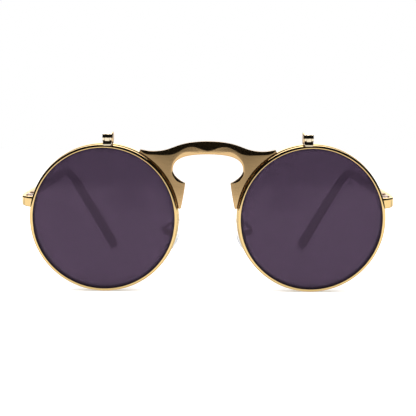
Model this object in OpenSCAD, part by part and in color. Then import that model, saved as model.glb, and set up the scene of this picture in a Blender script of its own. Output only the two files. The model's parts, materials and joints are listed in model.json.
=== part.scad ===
// Flip up sunglasses: a round metal frame with clear rear lenses and a pair of dark lenses
// hinged at the top of each rim. Lengths are in millimetres.
// The glasses are drawn in their own frame: X across, Y back from the front of the flip rims,
// Z up from the lens centres. standing() then sets them on a table, on rims and temple tips.

/* [Lenses] */
// Distance between the two lens centres
lens_pitch = 76.8; // [75:0.2:80]
// Diameter of lens that shows inside each rim
lens_open_d = 52.4; // [50:0.2:54]
// Thickness of the dark flip lenses
flip_lens_t = 1.6; // [1.2:0.1:1.9]
// Thickness of the clear rear lenses
rear_lens_t = 1.5; // [1.2:0.1:1.9]
// Radius of the curved faces of every lens
lens_curve_r = 265; // [180:5:400]
// How far the bevelled lens edge reaches into its rim
lens_bevel = 0.5; // [0.3:0.05:0.6]
// Gap left all round between lens and rim
lens_fit = 0.04; // [0.02:0.01:0.08]

/* [Rims] */
// Width of the rear rims, seen from the front
rim_w = 1.5; // [1.3:0.1:1.8]
// Depth of the rear rims, front to back
rim_t = 2.4; // [2.2:0.1:2.8]
// Width of the flip rims, seen from the front
flip_rim_w = 1.2; // [1.2:0.1:1.4]
// Depth of the flip rims, front to back
flip_rim_t = 2.0; // [1.8:0.1:2.4]
// Radius along the outer edges of all rims
rim_round = 0.9; // [0.6:0.05:0.9]
// Space between a closed flip rim and the rear rim
flip_gap = 1.2; // [1:0.1:1.6]
// Slit where each rear rim opens to take its lens
rim_slit = 0.3; // [0.2:0.05:0.5]

/* [Bridge] */
// Thickness of the bridge plate
bridge_t = 2.7; // [2.2:0.1:3]
// How far the plate stands in front of the rear rims
bridge_proud = 0.3; // [0.1:0.1:0.6]
// Height of the bridge's middle above the top of the rims
bridge_rise = 0.75; // [0:0.05:2]
// Height of the plate in the middle, over the arch
bridge_band = 4.8; // [4:0.1:6]
// Width of the leg where it ends beside the rim
leg_end_w = 1.0; // [0.95:0.05:1.2]
// Reach of the spur beyond the rims' nearest points
spur_reach = 2.35; // [1.5:0.05:3]
// Height of the spur's point above the lens centres
spur_z = 12.8; // [11:0.1:14]
// Fall of the crowned front towards its edges, for each millimetre that the crown reaches
bridge_crown = 0.29; // [0.15:0.01:0.34]
// Rounding along all the edges
bridge_edge = 0.4; // [0.2:0.05:0.4]

/* [End pieces] */
// Reach of the end pieces beyond the rims
end_reach = 3.6; // [3.4:0.1:4.4]
// Thickness of the end pieces and of the temple arms
strip_t = 1.6; // [1.4:0.1:1.8]
// Height of the end pieces at the rim
end_h = 3.9; // [3.6:0.1:4.2]
// Height of the end pieces and of the temple arms at the hinge
butt_h = 3.5; // [3.4:0.1:4.2]
// Radius along the edges of the end pieces and of the temple arms
strip_round = 0.65; // [0.3:0.05:0.7]
// Height of the end pieces' middle above the lens centres
end_z = 5.8; // [4.5:0.1:7]
// Diameter of the screws that close the rims
lock_screw_d = 1.0; // [0.8:0.1:1.2]
// Height of each half of the closing block
lock_h = 1.7; // [1.5:0.1:2]

/* [Temple hinges] */
// Distance of the hinge pins behind the front of the flip rims
hinge_y = 10.2; // [9.6:0.1:12]
// Height of the hinges' middle above the lens centres
hinge_z = 6.7; // [6:0.1:7.5]
// Outer diameter of the hinge barrels
barrel_d = 2.4; // [2.2:0.1:2.8]
// Diameter of the hinge screws
hinge_pin_d = 1.1; // [0.9:0.1:1.3]
// Height of all three hinge knuckles together
barrel_h = 3.1; // [2.8:0.1:3.3]
// Clearance between a hinge knuckle and its neighbours
knuckle_gap = 0.06; // [0.04:0.01:0.12]
// Clearance between a pin and the bore that turns on it
pin_fit = 0.03; // [0.02:0.01:0.06]

/* [Temples] */
// Distance from the hinge to the ear bend
bend_y = 87; // [80:1:95]
// How far the arm has leaned in by the ear bend
bend_in = 1.4; // [0:0.1:4]
// Rise of the arm from the hinge to the ear bend
bend_rise = 2.4; // [0:0.1:5]
// Drop of the tip's end below the ear bend
tip_drop = 41.5; // [38:0.5:46]
// How far the tip's end lies behind the ear bend
tip_back = 28; // [22:1:36]
// How far the tip's end lies inside the arm
tip_in = 18; // [12:1:22]
// Distance from the hinge to the mouth of the plastic tip
sleeve_y = 25; // [20:1:40]
// Thickness of the plastic tip
sleeve_t = 3.0; // [2.6:0.1:3.6]
// Height of the plastic tip along the arm
sleeve_h = 3.8; // [3.4:0.1:4.4]
// Height of the plastic tip at its end
tip_h = 5.0; // [4:0.1:6]
// Thickness of the core wire inside the plastic tip
core_t = 1.1; // [0.9:0.1:1.4]

/* [Flip hinges] */
// Outer diameter of the flip hinge barrels
flip_barrel_d = 3.2; // [2.8:0.1:3.4]
// Width of the three knuckles together
flip_barrel_w = 3.4; // [3:0.1:4]
// Diameter of the flip hinge screws
flip_pin_d = 1.2; // [1:0.1:1.4]
// Diameter of the flip hinge screws' heads
flip_head_d = 4.2; // [3.6:0.1:4.4]
// Height of the hinge line above the top of the rear rims
flip_axis_up = 2.1; // [2:0.1:2.6]
// Distance of the hinge line behind the front of the flip rims
flip_axis_y = 1.9; // [1.5:0.1:2.2]
// Distance of the flip hinges from the lens centres, towards the nose
flip_in = 1.6; // [0:0.1:4]
// Thickness of the lip that laps over the front of the flip rim
foot_t = 0.2; // [0.15:0.05:0.4]

/* [Nose pads] */
// Height of the nose pads
pad_h = 13; // [11:0.5:15]
// Width of the nose pads
pad_w = 7.4; // [6:0.2:9]
// Thickness of the nose pads
pad_t = 2.4; // [2:0.1:3]
// Distance between the middles of the two pads
pad_pitch = 25.6; // [24:0.2:28]
// Distance of the pads' middle behind the front of the flip rims
pad_y = 12.4; // [12:0.1:15]
// Depth of the pads' middle below the lens centres
pad_drop = 7.5; // [5:0.5:10]
// Spread of the pads from top to bottom, in degrees
pad_flare = 17; // [10:1:24]
// Spread of the pads from front to back, in degrees
pad_splay = 28; // [15:1:35]
// Diameter of the wire that carries each pad
pad_wire_d = 1.1; // [0.9:0.1:1.3]

/* [Hidden] */

gold = [0.86, 0.68, 0.36];
steel = [0.75, 0.74, 0.72];
smoke = [0.28, 0.23, 0.3, 0.85];
clear = [0.92, 0.95, 0.96, 0.35];
black = [0.07, 0.06, 0.07];

// Film of solder between two brazed pieces
braze = 0.03;
lens_x = lens_pitch / 2;
open_r = lens_open_d / 2;
flip_r = open_r + flip_rim_w;
rim_r = open_r + rim_w;
rim_y = flip_rim_t + flip_gap;
rim_back = rim_y + rim_t;
nose_x = lens_x - rim_r;

function unit(v) = v / norm(v);
function mix(a, b, k) = a + (b - a) * k;
function bezier(p, n, from = 0) = [for (i = [from : n]) let (k = i / n)
    pow(1 - k, 3) * p[0] + 3 * pow(1 - k, 2) * k * p[1] + 3 * (1 - k) * k * k * p[2] + pow(k, 3) * p[3]];

// Rectangle of width w and height h about the origin, with corners of radius r
function round_rect(w, h, r, steps = 4) = [for (q = [0 : 3], i = [0 : steps]) let (
    a = 90 * (q + i / steps),
    cx = (q == 0 || q == 3 ? 1 : -1) * (w / 2 - r),
    cy = (q < 2 ? 1 : -1) * (h / 2 - r)) [cx + r * cos(a), cy + r * sin(a)]];

// Closed solid through a stack of rings that have the same number of points. An outline
// with hollow sides brings the triangles that fill it, in cap.
module skin(rings, cap = []) {
    n = len(rings[0]);
    last = len(rings) - 1;
    fill = len(cap) > 0 ? cap : [[for (i = [0 : n - 1]) i]];
    polyhedron(
        points = [for (ring = rings, p = ring) p],
        faces = concat(
            fill,
            [for (f = fill) [for (i = [len(f) - 1 : -1 : 0]) last * n + f[i]]],
            [for (k = [0 : last - 1], i = [0 : n - 1]) let (j = (i + 1) % n)
                [k * n + i, (k + 1) * n + i, (k + 1) * n + j]],
            [for (k = [0 : last - 1], i = [0 : n - 1]) let (j = (i + 1) % n)
                [k * n + i, (k + 1) * n + j, k * n + j]]));
}

// Triangles between two chains of points that run side by side
function strip(a, b, i = 0, j = 0) =
    i == len(a) - 1 && j == len(b) - 1 ? [] :
    j == len(b) - 1 || (i < len(a) - 1 && (i + 1) / (len(a) - 1) <= (j + 1) / (len(b) - 1)) ?
        concat([[a[i], a[i + 1], b[j]]], strip(a, b, i + 1, j)) :
        concat([[a[i], b[j + 1], b[j]]], strip(a, b, i, j + 1));
function chain(from, to) = [for (i = [from : (to > from ? 1 : -1) : to]) i];

// Rings of one section each along a route; sections lie across it, with their height upright
function heading(route, k) = unit(route[min(k + 1, len(route) - 1)] - route[max(k - 1, 0)]);
function along(route, sections) = [for (k = [0 : len(route) - 1]) let (
    t = heading(route, k),
    side = unit(cross([0, 0, 1], t)),
    up = cross(t, side)) [for (p = sections[k]) route[k] + side * p[0] + up * p[1]]];

// Lens blank: two curved faces and a bevel all round that sits in the rim's groove
module lens_blank(t, r) {
    body_r = r - lens_fit;
    edge_r = body_r + lens_bevel;
    function sag(x) = lens_curve_r - sqrt(lens_curve_r * lens_curve_r - x * x);
    steps = 12;
    crown = sag(body_r);
    rotate([-90, 0, 0]) rotate_extrude($fn = 96) polygon(concat(
        [for (i = [0 : steps]) let (x = body_r * i / steps) [x, sag(x) - crown - t / 2]],
        [[edge_r, -t / 8], [edge_r, t / 8]],
        [for (i = [steps : -1 : 0]) let (x = body_r * i / steps) [x, sag(x) - crown + t / 2]]));
}

// Rim wire bent into a ring: rounded outside, grooved inside for a lens of thickness t
module rim_ring(w, depth, t) {
    r0 = open_r;
    groove = lens_bevel + lens_fit;
    mouth = t / 2 + lens_fit;
    floor_half = t / 8 + lens_fit;
    y0 = depth / 2;
    function corner(cx, cy, from) = [for (i = [0 : 5]) let (a = from + 90 * i / 5)
        [cx + rim_round * cos(a), cy + rim_round * sin(a)]];
    lip = min(rim_round / 2, y0 - mouth, w - rim_round);
    rotate([-90, 0, 0]) rotate_extrude($fn = 96) polygon(concat(
        [[r0, mouth], [r0, y0 - lip], [r0 + lip, y0]],
        [for (i = [5 : -1 : 0]) corner(r0 + w - rim_round, y0 - rim_round, 0)[i]],
        [for (i = [5 : -1 : 0]) corner(r0 + w - rim_round, rim_round - y0, -90)[i]],
        [[r0 + lip, -y0], [r0, lip - y0], [r0, -mouth]],
        [[r0 + groove, -floor_half], [r0 + groove, floor_half]]));
}

// Everything outside the rear rim's wire, used to shape what is brazed to it
module rim_clear(y0, y1) {
    translate([lens_x, y0, 0]) rotate([-90, 0, 0])
        cylinder(r = rim_r + braze, h = y1 - y0, $fn = 96);
}

// Bridge outline
bridge_top = rim_r + bridge_rise;
arch_top = bridge_top - bridge_band;
valley = [nose_x + 9.7, rim_r - 2.9];
horn_angle = 62;
horn_w = 1.1;
arch_side = [nose_x + 2.3, spur_z + 5];
spur = [nose_x - spur_reach, spur_z];
leg_z = 3.7;
seat_r = rim_r + braze;
leg_angle = asin(leg_z / seat_r);
function on_seat(a, extra = 0) = [lens_x - (seat_r + extra) * cos(a), (seat_r + extra) * sin(a)];
leg_end = on_seat(leg_angle) - [leg_end_w, 0];

// How far the front's crown reaches down from the top edge, as a share of the band's height:
// nearly to the arch in the middle, then narrow, and wider again over the legs
function bump(x, at, wide) = exp(-pow((x - at * valley[0]) / (wide * valley[0]), 2));
function top_reach(x) = bridge_band * (0.26 + 0.48 * bump(x, 0, 0.22) + 0.26 * bump(x, 0.64, 0.2));
// How far it reaches up from the arch: least in the middle, most on either side of it
function arch_reach(x) = bridge_band * (0.15 + 0.23 * bump(x, 0.42, 0.16));
// And how far it reaches in from the spurs' upper edges
spur_soft = [0.6, 0.25];

// Half of the outline, from the middle of the top to the middle of the arch, and how far
// the crown reaches in from each of its points: [x, z, reach]
top_steps = 20;
horn_steps = 5;
seat_steps = 14;
foot_steps = 4;
leg_steps = 6;
spur_steps = 8;
arch_steps = 16;
flat_reach = 0.04;
function edge_of(points) = [for (p = points) [p[0], p[1], flat_reach]];
top_line = bezier([[0, bridge_top], [0.63 * valley[0], bridge_top],
    [0.59 * valley[0], valley[1]], valley], top_steps);
horn = on_seat(horn_angle, horn_w);
horn_line = bezier([valley, valley + [1.6, 0], horn - [1.4, 0.35], horn], horn_steps, 1);
spur_line = bezier([spur + [0.1, 0.25], spur + [2.2, 1.1], arch_side - [0, 1.85], arch_side],
    spur_steps);
arch_line = bezier([arch_side, arch_side + [0, 3.95], [9.3, arch_top], [0, arch_top]],
    arch_steps, 1);
half_bridge = concat(
    [for (p = top_line) [p[0], p[1], top_reach(p[0])]],
    [for (i = [0 : horn_steps - 1]) [horn_line[i][0], horn_line[i][1],
        mix(top_reach(valley[0]), flat_reach, (i + 1) / horn_steps)]],
    edge_of([for (i = [0 : seat_steps]) on_seat(mix(horn_angle, leg_angle, i / seat_steps))]),
    edge_of(bezier([on_seat(leg_angle), on_seat(leg_angle) - [0, 0.45],
        leg_end - [0, 0.45], leg_end], foot_steps, 1)),
    edge_of(bezier([leg_end, leg_end + [-0.6, 2.9], spur + [0.37, -3.1], spur], leg_steps, 1)),
    [for (i = [0 : spur_steps]) [spur_line[i][0], spur_line[i][1],
        i == 0 ? flat_reach : mix(spur_soft[0], spur_soft[1], i / spur_steps)]],
    [for (i = [0 : arch_steps - 1]) let (k = min(1, 1.4 * (i + 1) / arch_steps))
        [arch_line[i][0], arch_line[i][1], mix(spur_soft[1], arch_reach(arch_line[i][0]), k)]]);
bridge_line = concat(half_bridge, [for (i = [len(half_bridge) - 2 : -1 : 1])
    let (p = half_bridge[i]) [-p[0], p[1], p[2]]]);

// Triangles that fill the outline: over the arch, out along the horn and down the leg
horn_end = top_steps + horn_steps;
neck = horn_end + 1 + horn_steps;
foot_mid = horn_end + 1 + seat_steps + foot_steps / 2;
mid_arch = len(half_bridge) - 1;
side_arch = mid_arch - arch_steps;
half_cap = concat(
    strip(chain(0, top_steps), chain(mid_arch, side_arch)),
    [[top_steps, neck, side_arch]],
    strip(chain(top_steps, horn_end), chain(neck, horn_end + 1)),
    strip(chain(neck, foot_mid), chain(side_arch, foot_mid + 1)));
bridge_cap = concat(half_cap, [for (f = half_cap) [for (i = [2 : -1 : 0])
    (len(bridge_line) - f[i]) % len(bridge_line)]]);

function inward(line, i) = let (n = len(line), a = line[(i + n - 1) % n], b = line[(i + 1) % n],
    t = unit([b[0] - a[0], b[1] - a[1]])) [t[1], -t[0]];
function ring_at(y0, inset, depth) = [for (i = [0 : len(bridge_line) - 1]) let (
    p = bridge_line[i],
    q = inward(bridge_line, i) * inset(p)) [p[0] + q[0], y0 + depth(p), p[1] + q[1]]];

// Fall of the crown at the edge, and its slope there, in degrees
function fall(p) = (p[2] - flat_reach) * bridge_crown;
function slope(p) = atan(2 * fall(p) / p[2]);
// The rounded edge goes on from that slope, and is sharper where spurs and legs end
function off(p, q) = norm([abs(p[0]), p[1]] - q);
function edge_r(p) = min(bridge_edge, 0.1 + 0.4 * off(p, spur), 0.22 + 0.1 * off(p, leg_end));
function turn(p, k) = mix(slope(p), 90, k);

module bridge() {
    front = rim_y - bridge_proud;
    back = front + bridge_t;
    color(gold) skin(concat(
        [for (s = [1 : -0.25 : 0]) ring_at(front,
            function(p) edge_r(p) * (1 - sin(slope(p))) + p[2] * s,
            function(p) fall(p) * pow(1 - s, 2))],
        [for (k = [0.25 : 0.25 : 1]) ring_at(front,
            function(p) edge_r(p) * (1 - sin(turn(p, k))),
            function(p) fall(p) + edge_r(p) * (cos(slope(p)) - cos(turn(p, k))))],
        [for (a = [90, 45, 0]) ring_at(back,
            function(p) edge_r(p) * (1 - sin(a)),
            function(p) -edge_r(p) * (1 - cos(a)))]), bridge_cap);
}

// Rear rim, slit behind its end piece so that the lens can be put in
module rim() {
    color(gold) difference() {
        translate([lens_x, rim_y + rim_t / 2, 0]) rim_ring(rim_w, rim_t, rear_lens_t);
        translate([lens_x, rim_y - 1, lock_z - rim_slit / 2])
            cube([rim_r + 1, rim_t + 2, rim_slit]);
    }
}

module lens() {
    color(clear) translate([lens_x, rim_y + rim_t / 2, 0]) lens_blank(rear_lens_t, open_r);
}

// End piece: a strip from the rim, bent back round the corner to the hinge
end_x = lens_x + rim_r + end_reach;
strip_x = end_x - strip_t / 2;
end_y = rim_y + strip_t / 2 - 0.2;
bend_w = 2.4;
bend_l = 3.4;
butt_y = hinge_y - 0.25;
end_lie = asin(end_z / (rim_r + braze));
function on_rim(z) = lens_x + (rim_r + braze - z * sin(end_lie)) / cos(end_lie);
end_route = concat(
    [[on_rim(end_z), end_y, end_z]],
    [for (i = [0 : 8]) let (a = 90 * i / 8)
        [strip_x - bend_w + bend_w * sin(a), end_y + bend_l - bend_l * cos(a),
         mix(end_z, mix(end_z, hinge_z, 0.5), i / 8)]],
    [[strip_x, butt_y - 1.6, mix(end_z, hinge_z, 0.85)], [strip_x, butt_y, hinge_z]]);
function end_height(k) = mix(end_h, butt_h, pow(k / (len(end_route) - 1), 2));

module end_piece() {
    rings = along(end_route, [for (k = [0 : len(end_route) - 1])
        round_rect(strip_t, end_height(k), strip_round)]);
    color(gold) skin([for (k = [0 : len(rings) - 1])
        [for (p = rings[k]) k == 0 ? [on_rim(p[2]), p[1], p[2]] : p]]);
}

// Closing block: two halves behind the end piece, one on each end of the slit rim
lock_z = end_z;
lock_front = rim_back - 0.3;
lock_depth = 2.2;
lock_in = lens_x + rim_r - 1.6;
lock_w = 2.85;
lock_x = lens_x + rim_r + 0.3;
lock_y = lock_front + lock_depth / 2;

module lock_half(z0) {
    difference() {
        translate([lock_in, lock_front, z0]) cube([lock_w, lock_depth, lock_h]);
        rim_clear(lock_front - 1, rim_back + braze);
        translate([lock_x, lock_y, z0 - 1])
            cylinder(d = lock_screw_d + 2 * pin_fit, h = lock_h + 2, $fn = 32);
    }
}

module rim_lock() {
    color(gold) {
        lock_half(lock_z + rim_slit / 2);
        lock_half(lock_z - rim_slit / 2 - lock_h);
    }
}

// Slotted screw along Z with its head upwards, head underside at the origin
module screw(d, length, head_d, head_t) {
    slot = head_d / 5;
    difference() {
        union() {
            translate([0, 0, -length]) cylinder(d = d, h = length, $fn = 32);
            cylinder(d = head_d, h = head_t, $fn = 32);
        }
        translate([-head_d, -slot / 2, head_t * 0.45]) cube([2 * head_d, slot, head_t]);
    }
}

module lock_screw() {
    color(steel) translate([lock_x, lock_y, lock_z - rim_slit / 2 - lock_h - braze])
        rotate([180, 0, 0]) screw(lock_screw_d, 2 * lock_h + rim_slit, lock_screw_d + 0.7, 0.4);
}

// Temple hinge: two knuckles on the end piece, one on the temple
hinge_x = end_x - strip_t - barrel_d / 2 - 0.5;
knuckle_h = (barrel_h - 2 * knuckle_gap) / 3;
leaf_l = 2.2;
leaf_reach = end_x - strip_t - braze - hinge_x;

module knuckle(z0, h, bore) {
    translate([hinge_x, hinge_y, z0]) difference() {
        cylinder(d = barrel_d, h = h, $fn = 48);
        translate([0, 0, -1]) cylinder(d = bore, h = h + 2, $fn = 32);
    }
}

// Leaf that joins a knuckle to its strip, running dir = -1 to the front or 1 to the back
module leaf(z0, h, dir) {
    reach = leaf_reach - (dir > 0 ? bend_in * (leaf_l + 0.35) / bend_y : 0);
    difference() {
        translate([hinge_x, hinge_y + (dir < 0 ? -0.35 - leaf_l : 0.35), z0])
            cube([reach, leaf_l, h]);
        translate([hinge_x, hinge_y, z0 - 1])
            cylinder(d = barrel_d - 0.4, h = h + 2, $fn = 48);
        if (dir > 0) translate([hinge_x - 1, hinge_y + 0.9, z0 - 1]) cube([1.9, 2, h + 2]);
    }
}

module hinge_block() {
    color(gold) for (z0 = [hinge_z - barrel_h / 2, hinge_z + barrel_h / 2 - knuckle_h]) {
        knuckle(z0, knuckle_h, hinge_pin_d + 2 * pin_fit);
        leaf(z0, knuckle_h, -1);
    }
}

module temple_hinge() {
    color(gold) {
        knuckle(hinge_z - knuckle_h / 2, knuckle_h, hinge_pin_d + 2 * pin_fit);
        leaf(hinge_z - knuckle_h / 2, knuckle_h, 1);
    }
}

module hinge_screw() {
    color(steel) translate([hinge_x, hinge_y, hinge_z + barrel_h / 2 + braze])
        screw(hinge_pin_d, barrel_h + 0.2, barrel_d - 0.3, 0.45);
}

// Temple: the route of its middle line, from the hinge over the ear to the end of the tip
arm_y = hinge_y + 0.02;
arm_start = [strip_x, arm_y, hinge_z];
ear = [strip_x - bend_in, hinge_y + bend_y, hinge_z + bend_rise];
tip_end = ear + [-tip_in, tip_back, -tip_drop];
ear_soft = 13;
ear_in = ear - unit(ear - arm_start) * ear_soft;
ear_out = ear + unit(tip_end - ear) * ear_soft;
function arm_at(y) = mix(arm_start, ear_in, (y - arm_y) / (ear_in[1] - arm_y));
ear_line = bezier([ear_in, mix(ear_in, ear, 0.75), mix(ear_out, ear, 0.75), ear_out], 10);
function tip_line(n) = [for (i = [1 : n]) mix(ear_out, tip_end, i / n)];

module temple_arm() {
    mouth_y = hinge_y + sleeve_y;
    core_h = core_t + 0.3;
    metal = [for (k = [0, 0.03, 0.4, 1]) arm_at(mix(arm_y, mouth_y - 0.1, k))];
    metal_h = [butt_h, butt_h, mix(butt_h, sleeve_h, 0.8) - 0.4, sleeve_h - 1];
    core = concat([arm_at(mouth_y), arm_at(mix(mouth_y, ear_in[1], 0.5))], ear_line, tip_line(4));
    core_cut = [for (i = [0 : len(core) - 2]) core[i]];
    color(gold) skin(along(concat(metal, core_cut), concat(
        [for (h = metal_h) round_rect(strip_t, h, strip_round)],
        [for (p = core_cut) round_rect(core_t, core_h, 0.4)])));
}

module temple_tip() {
    mouth_y = hinge_y + sleeve_y;
    rim_cut = [[0.0, 0.8], [0.5, 0.94], [1.4, 1]];
    body = concat([for (c = rim_cut) arm_at(mouth_y + c[0])],
        [arm_at(mix(mouth_y, ear_in[1], 0.35)), arm_at(mix(mouth_y, ear_in[1], 0.7))],
        ear_line, tip_line(5));
    n = len(body);
    end_dir = unit(tip_end - ear_out);
    dome = [for (a = [30, 60, 80]) tip_end + end_dir * (tip_h / 2) * sin(a)];
    function body_h(k) = k < n - 8 ? sleeve_h : mix(sleeve_h, tip_h, (k - n + 8) / 7);
    core = concat([arm_at(mouth_y - 0.4), arm_at(mix(mouth_y, ear_in[1], 0.5))], ear_line,
        [for (i = [0 : 2]) tip_line(4)[i] + (i == 2 ? end_dir * 0.4 : [0, 0, 0])]);
    color(black) difference() {
        skin(along(concat(body, dome), concat(
            [for (k = [0 : n - 1]) let (s = k < 3 ? rim_cut[k][1] : 1)
                round_rect(sleeve_t * s, body_h(k) * s, 1.2 * s)],
            [for (a = [30, 60, 80]) round_rect(sleeve_t * cos(a), tip_h * cos(a), 1.2 * cos(a))])));
        skin(along(core, [for (p = core)
            round_rect(core_t + 0.16, core_t + 0.46, 0.4)]));
    }
}

// Flip hinge: two ears on the rear rim, a middle knuckle on the arm of the flip rim
flip_x = lens_x - flip_in;
axis_z = rim_r + flip_axis_up;
ear_w = (flip_barrel_w - 2 * knuckle_gap) / 4;
mid_w = 2 * ear_w;

// Shape across the hinge line, from its y-z outline, w wide and centred at x
module across(x, w) {
    translate([x + w / 2, 0, 0]) rotate([90, 0, -90]) linear_extrude(height = w) children();
}

module flip_bracket() {
    foot_y = rim_y + 0.2;
    color(gold) difference() {
        for (side = [-1, 1]) across(flip_x + side * (mid_w + ear_w + 2 * knuckle_gap) / 2, ear_w)
            difference() {
                union() {
                    translate([-flip_axis_y, axis_z]) circle(d = flip_barrel_d, $fn = 48);
                    polygon([[-flip_axis_y, axis_z + flip_barrel_d / 2],
                        [-flip_axis_y - 1.2, axis_z + flip_barrel_d / 2 - 0.3],
                        [-rim_back + 0.3, rim_r + 0.9], [-rim_back + 0.3, rim_r - 0.6],
                        [-foot_y, rim_r - 0.6], [-foot_y, rim_r + 0.35],
                        [-flip_axis_y, axis_z - flip_barrel_d / 2 + 0.05]]);
                }
                translate([-flip_axis_y, axis_z]) circle(d = flip_pin_d + 2 * pin_fit, $fn = 32);
            }
        rim_clear(rim_y - 2, rim_back + 2);
    }
    color(gold) difference() {
        across(flip_x, flip_barrel_w) polygon([[-rim_back + 0.3, rim_r + 0.6],
            [-rim_back + 0.3, rim_r - 0.6], [-foot_y - 0.9, rim_r - 0.6],
            [-foot_y - 0.9, rim_r + 0.6]]);
        rim_clear(rim_y - 2, rim_back + 2);
    }
}

// A point across the hinge line at radius r, in the outline's own [-y, z] directions
function round_axis(r, a) = [r * cos(a) - flip_axis_y, axis_z + r * sin(a)];

// The neck flares forward from under the barrel to a lip on the front of the flip rim
module flip_arm() {
    neck_top = flip_barrel_d / 2 + 0.12;
    lip_h = 0.45;
    color(gold) difference() {
        union() {
            across(flip_x, mid_w) {
                translate([-flip_axis_y, axis_z]) circle(d = flip_barrel_d, $fn = 48);
                polygon([round_axis(0, 0), round_axis(flip_barrel_d / 2, -14),
                    round_axis(neck_top, -44), round_axis(neck_top + 0.3, -60),
                    round_axis(neck_top + 0.3, -90)]);
            }
            across(flip_x, flip_barrel_w - 0.3) polygon(concat(
                [for (a = [-44 : -11.5 : -90]) round_axis(neck_top, a)],
                [[-flip_axis_y, flip_r - 0.3], [foot_t, flip_r - 0.3], [foot_t, flip_r + 0.1]]));
            across(flip_x, flip_barrel_w - 1) polygon([[-braze, flip_r],
                [-braze, flip_r - lip_h], [foot_t - 0.1, flip_r - lip_h],
                [foot_t, flip_r - lip_h + 0.1], [foot_t, flip_r]]);
        }
        translate([lens_x, -braze, 0]) rotate([-90, 0, 0])
            cylinder(r = flip_r + braze, h = flip_rim_t + 1, $fn = 96);
        translate([flip_x - flip_barrel_w, flip_axis_y, axis_z]) rotate([0, 90, 0])
            cylinder(d = flip_pin_d + 2 * pin_fit, h = 2 * flip_barrel_w, $fn = 32);
    }
}

module flip_screw() {
    color(steel) translate([flip_x - flip_barrel_w / 2 - braze, flip_axis_y, axis_z])
        rotate([0, -90, 0]) screw(flip_pin_d, flip_barrel_w + 0.15, flip_head_d, 0.45);
}

module flip_rim() {
    color(gold) translate([lens_x, flip_rim_t / 2, 0]) rim_ring(flip_rim_w, flip_rim_t, flip_lens_t);
}

module flip_lens() {
    color(smoke) translate([lens_x, flip_rim_t / 2, 0]) lens_blank(flip_lens_t, open_r);
}

// Nose pads: each pad rocks on a pin in a box at the end of its wire
pad_at = [pad_pitch / 2, pad_y, -pad_drop];
pad_pin_d = 0.8;
pad_pin_x = pad_t / 2 + 1.1;

// Pad's own frame: face towards -X, height along Z, set at its flare and splay
module on_pad() {
    translate(pad_at) rotate([0, 0, -pad_splay]) rotate([0, -pad_flare, 0]) children();
}

module nose_pad() {
    steps = 12;
    color(clear) on_pad() difference() {
        union() {
            skin([for (i = [0 : steps]) let (
                a = mix(-86, 86, i / steps),
                z = pad_h / 2 * sin(a),
                wide = pad_w / 2 * cos(a) * (1 - 0.16 * sin(a)),
                thick = pad_t / 2 * pow(cos(a), 0.7))
                [for (j = [0 : 19]) [thick * cos(j * 18) + 0.5 * pow(sin(a), 2), wide * sin(j * 18), z]]]);
            translate([pad_t / 2 - 0.6, -0.45, -0.9]) cube([pad_pin_x - pad_t / 2 + 0.6, 0.9, 1.8]);
            translate([pad_pin_x, 0.45, 0]) rotate([90, 0, 0]) cylinder(r = 0.9, h = 0.9, $fn = 32);
        }
        translate([pad_pin_x, 2, 0]) rotate([90, 0, 0])
            cylinder(d = pad_pin_d + 2 * pin_fit, h = 4, $fn = 32);
    }
}

pad_cheek = 0.5;
pad_play = 0.08;

module pad_box() {
    half = 0.45 + pad_play;
    base_x = pad_pin_x + 0.9 + 0.35;
    color(gold) on_pad() difference() {
        translate([pad_pin_x - 0.75, -half - pad_cheek, -1.1])
            cube([base_x - pad_pin_x + 1.25, 2 * (half + pad_cheek), 2.2]);
        translate([pad_pin_x - 2, -half, -2]) cube([base_x - pad_pin_x + 2, 2 * half, 4]);
        translate([pad_pin_x, 3, 0]) rotate([90, 0, 0])
            cylinder(d = pad_pin_d + 2 * pin_fit, h = 6, $fn = 32);
    }
}

module pad_screw() {
    reach = 0.45 + pad_play + pad_cheek;
    color(steel) on_pad() translate([pad_pin_x, -reach - braze, 0]) rotate([90, 0, 0])
        screw(pad_pin_d, 2 * reach + 0.1, pad_pin_d + 0.6, 0.35);
}

module pad_wire() {
    box_back = pad_pin_x + 0.9 + 0.35 + 0.5 + braze;
    c = cos(pad_splay);
    s = sin(pad_splay);
    finish = pad_at + [box_back * cos(pad_flare) * c, -box_back * cos(pad_flare) * s,
        box_back * sin(pad_flare)];
    out = [cos(pad_flare) * c, -cos(pad_flare) * s, sin(pad_flare)];
    start_z = -1.5;
    start = [lens_x - sqrt(pow(rim_r - 0.8, 2) - start_z * start_z), rim_back + braze, start_z];
    route = bezier([start, start + [0, 5, 0], finish + out * 3.5, finish], 14);
    ring = [for (j = [0 : 9]) pad_wire_d / 2 * [cos(j * 36), sin(j * 36)]];
    color(gold) skin(along(route, [for (p = route) ring]));
}

// Sets the glasses on a table: the front leans until rims and tips both touch it
tip_low = tip_end[2] - tip_h / 2;
lean = atan2(-tip_low - rim_r, tip_end[1] - rim_y - rim_round);
floor_z = -rim_r * cos(lean) + (rim_y + rim_round) * sin(lean);
front_y = (flip_axis_y - flip_barrel_d / 2) * cos(lean) - axis_z * sin(lean);
back_y = (tip_end[1] + tip_h / 3) * cos(lean) - tip_end[2] * sin(lean);

module standing(side = 1) {
    translate([0, -(front_y + back_y) / 2, -floor_z]) rotate([lean, 0, 0])
        mirror([side < 0 ? 1 : 0, 0, 0]) children();
}

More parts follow.
